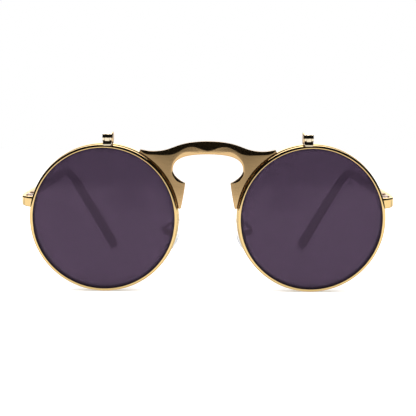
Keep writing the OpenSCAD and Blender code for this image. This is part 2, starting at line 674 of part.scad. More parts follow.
standing() bridge();
standing(-1) rim();  // left_rim
standing() rim();  // right_rim
standing(-1) lens();  // left_lens
standing() lens();  // right_lens
standing(-1) end_piece();  // left_end_piece
standing() end_piece();  // right_end_piece
standing(-1) rim_lock();  // left_rim_lock
standing() rim_lock();  // right_rim_lock
standing(-1) lock_screw();  // left_lock_screw
standing() lock_screw();  // right_lock_screw
standing(-1) hinge_block();  // left_hinge_block
standing() hinge_block();  // right_hinge_block
standing(-1) hinge_screw();  // left_hinge_screw
standing() hinge_screw();  // right_hinge_screw
standing(-1) temple_hinge();  // left_temple_hinge
standing() temple_hinge();  // right_temple_hinge
standing(-1) temple_arm();  // left_temple_arm
standing() temple_arm();  // right_temple_arm
standing(-1) temple_tip();  // left_temple_tip
standing() temple_tip();  // right_temple_tip
standing(-1) flip_bracket();  // left_flip_bracket
standing() flip_bracket();  // right_flip_bracket
standing(-1) flip_screw();  // left_flip_screw
standing() flip_screw();  // right_flip_screw
standing(-1) flip_arm();  // left_flip_arm
standing() flip_arm();  // right_flip_arm
standing(-1) flip_rim();  // left_flip_rim
standing() flip_rim();  // right_flip_rim
standing(-1) flip_lens();  // left_flip_lens
standing() flip_lens();  // right_flip_lens
standing(-1) pad_wire();  // left_pad_wire
standing() pad_wire();  // right_pad_wire
standing(-1) pad_box();  // left_pad_box
standing() pad_box();  // right_pad_box
standing(-1) pad_screw();  // left_pad_screw
standing() pad_screw();  // right_pad_screw
standing(-1) nose_pad();  // left_nose_pad
standing() nose_pad();  // right_nose_pad
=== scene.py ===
"""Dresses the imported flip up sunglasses: polished and brushed gold, dark and clear lenses,
plastic temple tips and nose pads, on a white studio floor. All lengths are in metres."""

import json
import math

import bmesh
import bpy
from mathutils import Matrix, Vector


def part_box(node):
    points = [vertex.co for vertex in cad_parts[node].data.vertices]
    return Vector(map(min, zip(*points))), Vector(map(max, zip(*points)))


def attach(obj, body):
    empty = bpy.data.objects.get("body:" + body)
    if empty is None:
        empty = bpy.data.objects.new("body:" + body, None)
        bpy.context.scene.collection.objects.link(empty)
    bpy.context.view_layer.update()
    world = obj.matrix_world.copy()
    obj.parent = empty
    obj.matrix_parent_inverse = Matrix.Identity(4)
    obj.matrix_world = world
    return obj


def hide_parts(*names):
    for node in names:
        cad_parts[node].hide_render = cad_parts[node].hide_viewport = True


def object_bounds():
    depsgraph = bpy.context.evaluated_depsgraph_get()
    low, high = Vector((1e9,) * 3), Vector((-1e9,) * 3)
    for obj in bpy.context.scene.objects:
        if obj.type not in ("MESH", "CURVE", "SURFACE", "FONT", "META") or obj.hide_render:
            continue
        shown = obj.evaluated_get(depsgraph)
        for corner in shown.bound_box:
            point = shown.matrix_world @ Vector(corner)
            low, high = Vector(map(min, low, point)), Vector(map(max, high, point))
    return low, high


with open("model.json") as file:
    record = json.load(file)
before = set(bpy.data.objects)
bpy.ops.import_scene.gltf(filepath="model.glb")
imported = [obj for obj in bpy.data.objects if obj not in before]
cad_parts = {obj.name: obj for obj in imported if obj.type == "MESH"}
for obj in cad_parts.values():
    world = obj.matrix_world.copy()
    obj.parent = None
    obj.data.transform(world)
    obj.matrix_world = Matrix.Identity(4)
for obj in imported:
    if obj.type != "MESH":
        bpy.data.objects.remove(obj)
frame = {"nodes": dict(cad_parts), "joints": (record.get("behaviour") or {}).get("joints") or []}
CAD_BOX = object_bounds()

bl_info = {
    "name": "Flip Up Sunglasses",
    "version": (1, 0, 0),
    "blender": (4, 5, 0),
    "location": "3D View > Sidebar > Glasses",
    "description": "Finishes a pair of round metal sunglasses whose dark lenses flip up",
    "category": "Object",
}

MM = 0.001
FOLD = next(joint for joint in frame["joints"] if joint["name"] == "right_temple_fold")
LEAN = math.atan2(-FOLD["axis"][1], FOLD["axis"][2])
RIM_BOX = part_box("right_rim")
FLIP_RIM_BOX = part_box("right_flip_rim")
LENS_X = (RIM_BOX[0].x + RIM_BOX[1].x) / 2
RIM_R = (RIM_BOX[1].x - RIM_BOX[0].x) / 2
FLIP_R = (FLIP_RIM_BOX[1].x - FLIP_RIM_BOX[0].x) / 2
SIDES = {"right": 1, "left": -1}
EDGE_FLAT = 1 / 8  # half the flat of a lens's edge, as a share of its thickness
BRAZE = 0.03 * MM  # left between a rear rim and what is soldered to it
TOUCH = 0.001 * MM  # points nearer than this are one


class FrontSizes(bpy.types.PropertyGroup):
    """Rims and lenses"""

    lens_open_r: bpy.props.FloatProperty(
        name="Lens opening", description="Radius of lens that shows inside each rim",
        default=26.2 * MM, unit="LENGTH")
    rim_depth: bpy.props.FloatProperty(
        name="Rim depth", description="Depth of the rear rims, front to back",
        default=2.4 * MM, unit="LENGTH")
    flip_rim_depth: bpy.props.FloatProperty(
        name="Flip rim depth", description="Depth of the flip rims, front to back",
        default=2.0 * MM, unit="LENGTH")
    rim_round: bpy.props.FloatProperty(
        name="Rim rounding", description="Radius along the outer edges of all rims",
        default=0.95 * MM, unit="LENGTH")
    rim_lip: bpy.props.FloatProperty(
        name="Rim lip", description="Rounding along the edge of a rim beside its lens",
        default=0.4 * MM, unit="LENGTH")
    flip_gap: bpy.props.FloatProperty(
        name="Flip gap", description="Space between a closed flip rim and the rear rim",
        default=1.2 * MM, unit="LENGTH")
    rim_slit: bpy.props.FloatProperty(
        name="Rim slit", description="Slit behind the end piece where a rear rim opens",
        default=0.3 * MM, unit="LENGTH")
    dark_lens_t: bpy.props.FloatProperty(
        name="Dark lens thickness", description="Thickness of the flip lenses",
        default=1.6 * MM, unit="LENGTH")
    clear_lens_t: bpy.props.FloatProperty(
        name="Clear lens thickness", description="Thickness of the rear lenses",
        default=1.5 * MM, unit="LENGTH")
    lens_curve_r: bpy.props.FloatProperty(
        name="Lens curve", description="Radius of the curved faces of every lens",
        default=265 * MM, unit="LENGTH")
    lens_bevel: bpy.props.FloatProperty(
        name="Lens bevel", description="How far the lens edge reaches into its rim",
        default=0.5 * MM, unit="LENGTH")
    lens_fit: bpy.props.FloatProperty(
        name="Lens fit", description="Gap left all round between lens and rim",
        default=0.04 * MM, unit="LENGTH")


class BridgeSizes(bpy.types.PropertyGroup):
    """Bridge plate"""

    thickness: bpy.props.FloatProperty(
        name="Thickness", description="Thickness of the bridge plate",
        default=2.7 * MM, unit="LENGTH")
    proud: bpy.props.FloatProperty(
        name="Proud", description="How far the plate stands in front of the rear rims",
        default=0.3 * MM, unit="LENGTH")
    rise: bpy.props.FloatProperty(
        name="Rise", description="Height of the bridge's middle above the top of the rims",
        default=0.75 * MM, unit="LENGTH")
    band: bpy.props.FloatProperty(
        name="Band", description="Height of the plate in the middle, over the arch",
        default=4.8 * MM, unit="LENGTH")
    leg_end_w: bpy.props.FloatProperty(
        name="Leg end", description="Width of the leg where it ends beside the rim",
        default=1.0 * MM, unit="LENGTH")
    spur_reach: bpy.props.FloatProperty(
        name="Spur reach", description="Reach of the spur beyond the rims' nearest points",
        default=2.35 * MM, unit="LENGTH")
    spur_z: bpy.props.FloatProperty(
        name="Spur height", description="Height of the spur's point above the lens centres",
        default=12.8 * MM, unit="LENGTH")
    crown: bpy.props.FloatProperty(
        name="Crown", default=0.29,
        description="Fall of the crowned front to its edges for each metre that it reaches")
    edge_round: bpy.props.FloatProperty(
        name="Edge rounding", description="Rounding along all the edges",
        default=0.15 * MM, unit="LENGTH")


class TempleSizes(bpy.types.PropertyGroup):
    """End pieces, hinges and temples"""

    hinge_y: bpy.props.FloatProperty(
        name="Hinge depth", description="Distance of the hinge pins behind the front",
        default=10.2 * MM, unit="LENGTH")
    hinge_z: bpy.props.FloatProperty(
        name="Hinge height", description="Height of the hinges above the lens centres",
        default=6.7 * MM, unit="LENGTH")
    end_reach: bpy.props.FloatProperty(
        name="End reach", description="Reach of the end pieces beyond the rims",
        default=3.6 * MM, unit="LENGTH")
    end_z: bpy.props.FloatProperty(
        name="End height", description="Height of the end pieces above the lens centres",
        default=5.8 * MM, unit="LENGTH")
    end_h: bpy.props.FloatProperty(
        name="Strip height at the rim", description="Height of the end pieces at the rim",
        default=3.9 * MM, unit="LENGTH")
    butt_h: bpy.props.FloatProperty(
        name="Strip height at the hinge", description="Height of strips where they meet",
        default=3.5 * MM, unit="LENGTH")
    strip_round: bpy.props.FloatProperty(
        name="Strip rounding", description="Radius along the edges of end pieces and arms",
        default=0.65 * MM, unit="LENGTH")
    strip_t: bpy.props.FloatProperty(
        name="Strip thickness", description="Thickness of end pieces and arms",
        default=1.6 * MM, unit="LENGTH")
    bend_y: bpy.props.FloatProperty(
        name="Ear distance", description="Distance from the hinge to the ear bend",
        default=87 * MM, unit="LENGTH")
    bend_in: bpy.props.FloatProperty(
        name="Lean in", description="How far the arm has leaned in by the ear bend",
        default=1.4 * MM, unit="LENGTH")
    bend_rise: bpy.props.FloatProperty(
        name="Ear rise", description="Rise of the arm from the hinge to the ear bend",
        default=2.4 * MM, unit="LENGTH")
    tip_drop: bpy.props.FloatProperty(
        name="Tip drop", description="Drop of the tip's end below the ear bend",
        default=41.5 * MM, unit="LENGTH")
    tip_back: bpy.props.FloatProperty(
        name="Tip back", description="How far the tip's end lies behind the ear bend",
        default=28 * MM, unit="LENGTH")
    tip_in: bpy.props.FloatProperty(
        name="Tip in", description="How far the tip's end lies inside the arm",
        default=18 * MM, unit="LENGTH")
    sleeve_y: bpy.props.FloatProperty(
        name="Sleeve start", description="Distance from the hinge to the plastic tip",
        default=25 * MM, unit="LENGTH")
    sleeve_t: bpy.props.FloatProperty(
        name="Sleeve thickness", description="Thickness of the plastic tip",
        default=3.0 * MM, unit="LENGTH")
    sleeve_h: bpy.props.FloatProperty(
        name="Sleeve height", description="Height of the plastic tip along the arm",
        default=3.8 * MM, unit="LENGTH")
    tip_h: bpy.props.FloatProperty(
        name="Tip height", description="Height of the plastic tip at its end",
        default=5.0 * MM, unit="LENGTH")
    core_t: bpy.props.FloatProperty(
        name="Core thickness", description="Thickness of the wire inside the plastic tip",
        default=1.1 * MM, unit="LENGTH")


class PadSizes(bpy.types.PropertyGroup):
    """Nose pads"""

    height: bpy.props.FloatProperty(
        name="Height", description="Height of the nose pads",
        default=13 * MM, unit="LENGTH")
    width: bpy.props.FloatProperty(
        name="Width", description="Width of the nose pads",
        default=7.4 * MM, unit="LENGTH")
    thickness: bpy.props.FloatProperty(
        name="Thickness", description="Thickness of the nose pads",
        default=2.4 * MM, unit="LENGTH")
    pitch: bpy.props.FloatProperty(
        name="Pitch", description="Distance between the middles of the two pads",
        default=25.6 * MM, unit="LENGTH")
    depth: bpy.props.FloatProperty(
        name="Depth", description="Distance of the pads' middle behind the front",
        default=12.4 * MM, unit="LENGTH")
    drop: bpy.props.FloatProperty(
        name="Drop", description="Depth of the pads' middle below the lens centres",
        default=7.5 * MM, unit="LENGTH")
    flare: bpy.props.FloatProperty(
        name="Flare", description="Spread of the pads from top to bottom",
        default=math.radians(17), unit="ROTATION")
    splay: bpy.props.FloatProperty(
        name="Splay", description="Spread of the pads from front to back",
        default=math.radians(28), unit="ROTATION")


class Finish(bpy.types.PropertyGroup):
    """Colours"""

    gold: bpy.props.FloatVectorProperty(
        name="Gold", description="Colour of the polished plating", subtype="COLOR",
        size=3, default=(1.0, 0.71, 0.32))
    pale_gold: bpy.props.FloatVectorProperty(
        name="Pale gold", description="Colour of the flip hinges", subtype="COLOR",
        size=3, default=(1.0, 0.86, 0.62))
    brushed_gold: bpy.props.FloatVectorProperty(
        name="Brushed gold", description="Colour of the bridge and the screws",
        subtype="COLOR", size=3, default=(0.88, 0.59, 0.29))
    satin_gold: bpy.props.FloatVectorProperty(
        name="Satin gold", description="Colour of the hinge parts behind the front",
        subtype="COLOR", size=3, default=(0.9, 0.74, 0.66))
    smoke: bpy.props.FloatVectorProperty(
        name="Smoke", description="Tint of the dark lenses", subtype="COLOR",
        size=3, default=(0.066, 0.043, 0.074))
    smoke_gloss: bpy.props.FloatVectorProperty(
        name="Smoke reflection", description="Tint that the dark lenses reflect with",
        subtype="COLOR", size=3, default=(1.0, 0.72, 1.0))
    plastic: bpy.props.FloatVectorProperty(
        name="Plastic", description="Colour of the temple tips", subtype="COLOR",
        size=3, default=(0.016, 0.012, 0.016))
    pad: bpy.props.FloatVectorProperty(
        name="Pads", description="Tint of the clear nose pads", subtype="COLOR",
        size=3, default=(0.97, 0.98, 1.0))


def unit(v):
    """The direction of a vector"""
    return v.normalized()


def mix(a, b, k):
    """What lies between a and b, at a share k of the way"""
    return a + (b - a) * k


def bezier(p, steps, start=0):
    """Points of a cubic curve through four control points"""
    points = []
    for i in range(start, steps + 1):
        k = i / steps
        points.append(p[0] * (1 - k) ** 3 + p[1] * 3 * k * (1 - k) ** 2
                      + p[2] * 3 * k * k * (1 - k) + p[3] * k ** 3)
    return points


def glasses_to_row():
    """Places the glasses' own frame, with Z up from the lens centres, on the table"""
    temple = bpy.context.scene.temple_sizes
    lean = Matrix.Rotation(LEAN, 4, "X")
    pin = Vector(FOLD["pos_m"])
    own_pin = Vector((pin.x, temple.hinge_y, temple.hinge_z))
    return Matrix.Translation(pin - lean @ own_pin) @ lean


def turn_outward(mesh):
    """Makes every face of a closed mesh face away from its inside"""
    work = bmesh.new()
    work.from_mesh(mesh)
    bmesh.ops.recalc_face_normals(work, faces=work.faces)
    work.to_mesh(mesh)
    work.free()


def make_piece(name, points, faces, body, slot, finish, replaces=(), side=1, sharp=38):
    """Adds a mesh drawn for the right side, mirrored where side is -1, riding on its body.
    Edges that turn by more than sharp degrees stay crisp."""
    place = glasses_to_row() @ Matrix.Diagonal((side, 1, 1, 1))
    mesh = bpy.data.meshes.new(name)
    mesh.from_pydata([place @ Vector(p) for p in points], [], faces)
    mesh.validate()
    turn_outward(mesh)
    mesh.shade_smooth()
    mesh.set_sharp_from_angle(angle=math.radians(sharp))
    mesh.materials.append(finish)
    piece = bpy.data.objects.new(name, mesh)
    bpy.context.scene.collection.objects.link(piece)
    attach(piece, body)
    if replaces:
        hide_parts(*replaces)
    return piece


def skin(rings, closed=False):
    """Faces through a stack of rings with as many points each; closed joins last to first"""
    n = len(rings[0])
    count = len(rings)
    points = [p for ring in rings for p in ring]
    faces = []
    for k in range(count if closed else count - 1):
        a, b = k * n, (k + 1) % count * n
        for i in range(n):
            j = (i + 1) % n
            faces.append((a + i, b + i, b + j, a + j))
    if not closed:
        faces.append(tuple(range(n)))
        faces.append(tuple(range(count * n - 1, (count - 1) * n - 1, -1)))
    return points, faces


def revolve(profile, centre, steps=240, gap=None):
    """Turns a closed profile of (radius, depth) pairs round the Y axis through centre.
    gap is (height, width) of a slit on the outer side, which leaves the ring open."""
    if gap is None:
        angles = [2 * math.pi * i / steps for i in range(steps)]
    else:
        radius = max(p[0] for p in profile)
        first = math.asin((gap[0] + gap[1] / 2) / radius)
        last = math.asin((gap[0] - gap[1] / 2) / radius) + 2 * math.pi
        angles = [mix(first, last, i / steps) for i in range(steps + 1)]
    rings = [[centre + Vector((r * math.cos(a), y, r * math.sin(a))) for r, y in profile]
             for a in angles]
    return skin(rings, closed=gap is None)


def arc(centre, radius, start, stop, steps):
    """Points of an arc in a profile's plane, with angles in degrees"""
    points = []
    for i in range(steps + 1):
        a = math.radians(mix(start, stop, i / steps))
        points.append((centre[0] + radius * math.cos(a), centre[1] + radius * math.sin(a)))
    return points


def round_rect(w, h, r, steps=6):
    """Rectangle about the origin with corners of radius r"""
    points = []
    for q, (sx, sy) in enumerate(((1, 1), (-1, 1), (-1, -1), (1, -1))):
        corner = (sx * (w / 2 - r), sy * (h / 2 - r))
        points += arc(corner, r, 90 * q, 90 * q + 90, steps)
    return points


def along(route, sections):
    """Rings of one section each along a route, with the sections' height upright"""
    rings = []
    for k, here in enumerate(route):
        t = unit(route[min(k + 1, len(route) - 1)] - route[max(k - 1, 0)])
        side = unit(Vector((0, 0, 1)).cross(t))
        up = t.cross(side)
        rings.append([here + side * p[0] + up * p[1] for p in sections[k]])
    return rings


# Building blocks of shaders

def feed(tree, socket, value):
    """Gives a shader input what it takes: another node's output, a number or a colour"""
    if isinstance(value, bpy.types.NodeSocket):
        tree.links.new(value, socket)
    else:
        socket.default_value = value


def calculate(tree, operation, *inputs):
    """Result of one sum, whose inputs are sockets or numbers"""
    node = tree.nodes.new("ShaderNodeMath")
    node.operation = operation
    for socket, value in zip(node.inputs, inputs):
        feed(tree, socket, value)
    return node.outputs[0]


def map_range(tree, source, low, high, start=0.0, stop=1.0, shape="SMOOTHSTEP"):
    """Value of source carried from low..high to start..stop, and held beyond"""
    node = tree.nodes.new("ShaderNodeMapRange")
    node.interpolation_type = shape
    for name, value in (("Value", source), ("From Min", low), ("From Max", high),
                        ("To Min", start), ("To Max", stop)):
        feed(tree, node.inputs[name], value)
    return node.outputs["Result"]


def mix_colours(tree, share, first, second, blend="MIX"):
    """The first colour blended with the second, at a share of the second"""
    node = tree.nodes.new("ShaderNodeMix")
    node.data_type = "RGBA"
    node.blend_type = blend
    for name, value in (("Factor", share), ("A", first), ("B", second)):
        feed(tree, node.inputs[name], value)
    return node.outputs["Result"]


def add_noise(tree, place, scale, detail=2, roughness=0.5):
    """Soft noise over the places that it is given"""
    node = tree.nodes.new("ShaderNodeTexNoise")
    for name, value in (("Vector", place), ("Scale", scale), ("Detail", detail),
                        ("Roughness", roughness)):
        feed(tree, node.inputs[name], value)
    return node.outputs["Fac"]


def add_bump(tree, height, strength, distance):
    """Normals of a surface with small heights on it"""
    node = tree.nodes.new("ShaderNodeBump")
    for name, value in (("Height", height), ("Strength", strength),
                        ("Distance", distance)):
        feed(tree, node.inputs[name], value)
    return node.outputs["Normal"]


def mirror_ray(tree):
    """1 for a ray that was mirrored, 0 for one that came through glass or from the camera"""
    path = tree.nodes.new("ShaderNodeLightPath")
    return calculate(tree, "SUBTRACT", path.outputs["Is Glossy Ray"],
                     path.outputs["Is Transmission Ray"])


# Shared shader effects

def start_effect(name, **values):
    """A new shader group. A colour and the named values go in, and a colour, a roughness
    and a normal come out. Gives the group, its two ends and each point's place."""
    tree = bpy.data.node_groups.new(name, "ShaderNodeTree")
    add_socket = tree.interface.new_socket
    add_socket(name="Color", in_out="INPUT", socket_type="NodeSocketColor")
    for value, default in values.items():
        socket = add_socket(name=value, in_out="INPUT", socket_type="NodeSocketFloat")
        socket.default_value = default
    for result, kind in (("Color", "Color"), ("Roughness", "Float"), ("Normal", "Vector")):
        add_socket(name=result, in_out="OUTPUT", socket_type="NodeSocket" + kind)
    given = tree.nodes.new("NodeGroupInput").outputs
    made = tree.nodes.new("NodeGroupOutput").inputs
    place = tree.nodes.new("ShaderNodeTexCoord").outputs["Object"]
    return tree, given, made, place


def polish_group():
    """Plating that is never quite even: soft tone changes and a faint waviness"""
    if "Polish" in bpy.data.node_groups:
        return bpy.data.node_groups["Polish"]
    tree, given, made, place = start_effect("Polish", Tone=0.04, Roughness=0.1, Haze=0.04)
    cloud = add_noise(tree, place, scale=180, detail=3)
    tone = calculate(tree, "MULTIPLY", cloud, given["Tone"])
    feed(tree, made["Color"],
         mix_colours(tree, tone, given["Color"], (0.55, 0.5, 0.42, 1), "MULTIPLY"))
    feed(tree, made["Roughness"],
         calculate(tree, "MULTIPLY_ADD", cloud, given["Haze"], given["Roughness"]))
    wave = add_noise(tree, place, scale=420)
    feed(tree, made["Normal"], add_bump(tree, wave, strength=0.12, distance=0.02 * MM))
    return tree


def brush_group():
    """Fine lines left by a brush drawn across the metal"""
    if "Brush lines" in bpy.data.node_groups:
        return bpy.data.node_groups["Brush lines"]
    tree, given, made, place = start_effect("Brush lines", Depth=0.3, Roughness=0.08)
    stretch = tree.nodes.new("ShaderNodeMapping")
    stretch.inputs["Scale"].default_value = (260, 4200, 9000)
    feed(tree, stretch.inputs["Vector"], place)
    lines = add_noise(tree, stretch.outputs["Vector"], scale=1, detail=4, roughness=0.6)
    tone = map_range(tree, lines, 0.3, 0.7, 0.0, 0.35, shape="LINEAR")
    feed(tree, made["Color"],
         mix_colours(tree, tone, given["Color"], (0.5, 0.45, 0.38, 1), "MULTIPLY"))
    feed(tree, made["Roughness"],
         calculate(tree, "MULTIPLY_ADD", lines, 0.08, given["Roughness"]))
    feed(tree, made["Normal"],
         add_bump(tree, lines, strength=given["Depth"], distance=0.01 * MM))
    return tree


# Materials

def start_material(name):
    """A new material with its Principled shader, ready to be given values"""
    material = bpy.data.materials.new(name)
    material.use_nodes = True
    return material, material.node_tree.nodes["Principled BSDF"]


def made_once(build):
    """Makes a material the first time that it is asked for, and shares it after that"""
    name = build.__name__.replace("_", " ").capitalize()

    def shared():
        """The one material that every piece with this finish has"""
        if name not in bpy.data.materials:
            build(*start_material(name))
        return bpy.data.materials[name]

    return shared


def add_effect(material, shader, group, **values):
    """Places a shared effect in a material with its own values, and feeds the shader"""
    tree = material.node_tree
    effect = tree.nodes.new("ShaderNodeGroup")
    effect.node_tree = group
    for name, value in values.items():
        effect.inputs[name].default_value = value
    for made, fed in (("Color", "Base Color"), ("Roughness", "Roughness"),
                      ("Normal", "Normal")):
        feed(tree, shader.inputs[fed], effect.outputs[made])
    return effect


def add_plating(material, shader, colour, roughness=0.04, tone=0.04, metallic=1):
    """Plated metal whose colour, where it is mirrored in other plating, is darkened as painted
    shade for the gaps between parts
    """
    tree = material.node_tree
    polish = add_effect(material, shader, polish_group(), Color=(*colour, 1), Tone=tone,
                        Roughness=roughness)
    path = tree.nodes.new("ShaderNodeLightPath")
    # Painted shade: plating seen mirrored in plating takes a darker colour
    shade_in_reflections = mix_colours(tree, path.outputs["Is Glossy Ray"], polish.outputs["Color"],
                      (0.3, 0.27, 0.24, 1), "MULTIPLY")
    feed(tree, shader.inputs["Base Color"], shade_in_reflections)
    shader.inputs["Metallic"].default_value = metallic


def add_edge_shade_tint(material, shader, middle, edge):
    """Colours a lens from its middle to its edge by the mask of add_edge_shade_mask, which
    paints the rim's shade and reflection into the edge colour, more low down than along the top
    """
    tree = material.node_tree
    mask = tree.nodes.new("ShaderNodeAttribute")
    mask.attribute_name = "edge"
    feed(tree, shader.inputs["Base Color"],
         mix_colours(tree, mask.outputs["Fac"], (*middle, 1), (*edge, 1)))


@made_once
def polished_gold(material, shader):
    """Bright plating of the rims, end pieces and arms"""
    add_plating(material, shader, bpy.context.scene.finish.gold)


@made_once
def pale_gold(material, shader):
    """Lighter plating of the flip hinges"""
    add_plating(material, shader, bpy.context.scene.finish.pale_gold)


@made_once
def satin_gold(material, shader):
    """Duller plating of the hinge parts behind the front"""
    add_plating(material, shader, bpy.context.scene.finish.satin_gold, roughness=0.5,
                metallic=0.4)


@made_once
def screw_gold(material, shader):
    """Plated screws, a little duller than the rims"""
    add_plating(material, shader, bpy.context.scene.finish.brushed_gold, roughness=0.2,
                tone=0.15)


@made_once
def brushed_gold(material, shader):
    """Bridge plate, brushed from side to side"""
    add_effect(material, shader, brush_group(), Depth=0.3, Roughness=0.08,
               Color=(*bpy.context.scene.finish.brushed_gold, 1))
    shader.inputs["Metallic"].default_value = 1


@made_once
def smoke_glass(material, shader):
    """Dark lens: a grey tint with a purple reflection"""
    finish = bpy.context.scene.finish
    # The near-black edge colour is painted shade and reflection of the rim
    add_edge_shade_tint(material, shader, middle=finish.smoke, edge=(0.004, 0.003, 0.008))
    shader.inputs["Roughness"].default_value = 0.02
    shader.inputs["Transmission Weight"].default_value = 0.6
    shader.inputs["IOR"].default_value = 1.3
    shader.inputs["Specular Tint"].default_value = (*finish.smoke_gloss, 1)


@made_once
def clear_lens(material, shader):
    """Clear rear lens with the greenish colour of its glass along its edge, made stronger low
    down as painted shade of the rim
    """
    add_edge_shade_tint(material, shader, middle=(0.97, 0.98, 0.985), edge=(0.62, 0.74, 0.7))
    shader.inputs["Roughness"].default_value = 0.01
    shader.inputs["Transmission Weight"].default_value = 1
    shader.inputs["IOR"].default_value = 1.5
    shader.inputs["Specular IOR Level"].default_value = 0.25


@made_once
def tip_plastic(material, shader):
    """Glossy dark plastic of the temple tips, with a trace of moulding flow in it"""
    add_effect(material, shader, polish_group(), Tone=0.5, Roughness=0.14, Haze=0.1,
               Color=(*bpy.context.scene.finish.plastic, 1))
    shader.inputs["IOR"].default_value = 1.5


@made_once
def pad_plastic(material, shader):
    """Clear plastic of the nose pads"""
    add_effect(material, shader, polish_group(), Roughness=0.18, Haze=0.12,
               Color=(*bpy.context.scene.finish.pad, 1))
    shader.inputs["Transmission Weight"].default_value = 1
    shader.inputs["IOR"].default_value = 1.42


# Pieces

def rear_front_y():
    """Depth of the rear rims' front faces"""
    sizes = bpy.context.scene.front_sizes
    return sizes.flip_rim_depth + sizes.flip_gap


def rim_profile(width, depth, lens_t):
    """Section of a rim, as (radius, depth): rounded outside, lipped and grooved inside"""
    sizes = bpy.context.scene.front_sizes
    inner, half = sizes.lens_open_r, depth / 2
    outer, edge = inner + width, sizes.rim_round
    groove = inner + sizes.lens_bevel + sizes.lens_fit
    mouth = lens_t / 2 + sizes.lens_fit
    floor_half = lens_t * EDGE_FLAT + sizes.lens_fit
    lip_w, lip_d = min(sizes.rim_lip, width - edge), min(sizes.rim_lip, half - mouth)
    lip = [(inner + lip_w * (1 - x), half - lip_d * (1 - y))
           for x, y in arc((0, 0), 1, 0, 90, 8)]
    section = ([(inner, mouth)] + lip + arc((outer - edge, half - edge), edge, 90, 0, 12)
               + arc((outer - edge, edge - half), edge, 0, -90, 12)
               + [(r, -y) for r, y in reversed(lip)]
               + [(inner, -mouth), (groove, -floor_half), (groove, floor_half)])
    # Where lip and rounding meet, their end points are the same
    return [p for p, last in zip(section, section[-1:] + section)
            if math.dist(p, last) > TOUCH]


def add_edge_shade_mask(piece, centre, radius):
    """Marks how near each point of a lens lies to its edge, as painted shade and reflection of
    the rim in the lens's edge, weaker along the top
    """
    begins, fades = 0.965, 0.02  # shares of the radius
    least, least_above = 0.3, 0.7  # strength of the painted edge shade along the top, and the height that has it
    middle = glasses_to_row() @ centre
    mask = piece.data.attributes.new("edge", "FLOAT", "POINT")
    for point, value in zip(piece.data.vertices, mask.data):
        away = (point.co - middle) / radius
        near = min(1, max(0, (away.length - begins) / fades))
        value.value = near * mix(least, 1, min(1, max(0, least_above - away.z)))


def lens_points(thickness, centre):
    """Lens with two curved faces and a bevel all round that sits in the rim's groove"""
    sizes = bpy.context.scene.front_sizes
    body_r = sizes.lens_open_r - sizes.lens_fit
    curve = sizes.lens_curve_r
    steps = 24
    around = 192

    def sag(x):
        """How far a lens face lies behind its middle, at a distance x from it"""
        return curve - math.sqrt(curve * curve - x * x)

    crown = sag(body_r)
    front = [(body_r * math.sqrt(i / steps), sag(body_r * math.sqrt(i / steps)) - crown)
             for i in range(1, steps + 1)]
    edge_r = body_r + sizes.lens_bevel
    profile = ([(x, y - thickness / 2) for x, y in front]
               + [(edge_r, -thickness * EDGE_FLAT), (edge_r, thickness * EDGE_FLAT)]
               + [(x, y + thickness / 2) for x, y in reversed(front)])
    rings = []
    for r, y in profile:
        ring = []
        for i in range(around):
            a = 2 * math.pi * i / around
            ring.append(centre + Vector((r * math.cos(a), y, r * math.sin(a))))
        rings.append(ring)
    points, faces = skin(rings)
    # Fans of triangles round a middle point take the place of the two large end faces
    del faces[-2:]
    for ring, y in ((0, -crown - thickness / 2), (len(rings) - 1, thickness / 2 - crown)):
        hub = len(points)
        points.append(centre + Vector((0, y, 0)))
        for i in range(around):
            a, b = ring * around + i, ring * around + (i + 1) % around
            faces.append((hub, a, b) if ring == 0 else (hub, b, a))
    return points, faces


class GLASSES_OT_rims(bpy.types.Operator):
    """Make the rear rims and the flip rims"""

    bl_idname = "glasses.rims"
    bl_label = "Rims"

    def execute(self, context):
        sizes = context.scene.front_sizes
        end_z = context.scene.temple_sizes.end_z
        rear_y = rear_front_y() + sizes.rim_depth / 2
        for name, side in SIDES.items():
            profile = rim_profile(RIM_R - sizes.lens_open_r, sizes.rim_depth,
                                  sizes.clear_lens_t)
            points, faces = revolve(profile, Vector((LENS_X, rear_y, 0)),
                                    gap=(end_z, sizes.rim_slit))
            make_piece(name + "_rear_rim", points, faces, "front", "gold_metal",
                       polished_gold(), [name + "_rim"], side)
            profile = rim_profile(FLIP_R - sizes.lens_open_r, sizes.flip_rim_depth,
                                  sizes.dark_lens_t)
            points, faces = revolve(profile, Vector((LENS_X, sizes.flip_rim_depth / 2, 0)))
            make_piece(name + "_front_rim", points, faces, name + "_flip", "gold_metal",
                       polished_gold(), [name + "_flip_rim"], side)
        return {"FINISHED"}


class GLASSES_OT_lenses(bpy.types.Operator):
    """Make the clear rear lenses and the dark flip lenses"""

    bl_idname = "glasses.lenses"
    bl_label = "Lenses"

    def execute(self, context):
        sizes = context.scene.front_sizes
        rear_y = rear_front_y() + sizes.rim_depth / 2
        for name, side in SIDES.items():
            for kind, y, thickness, body, slot, finish, node in (
                    ("clear_lens", rear_y, sizes.clear_lens_t, "front", "clear_lens",
                     clear_lens(), "_lens"),
                    ("dark_lens", sizes.flip_rim_depth / 2, sizes.dark_lens_t,
                     name + "_flip", "dark_lens", smoke_glass(), "_flip_lens")):
                centre = Vector((LENS_X, y, 0))
                points, faces = lens_points(thickness, centre)
                piece = make_piece(name + "_" + kind, points, faces, body, slot, finish,
                                   [name + node], side)
                add_edge_shade_mask(piece, Vector((side * LENS_X, y, 0)), sizes.lens_open_r)
        return {"FINISHED"}


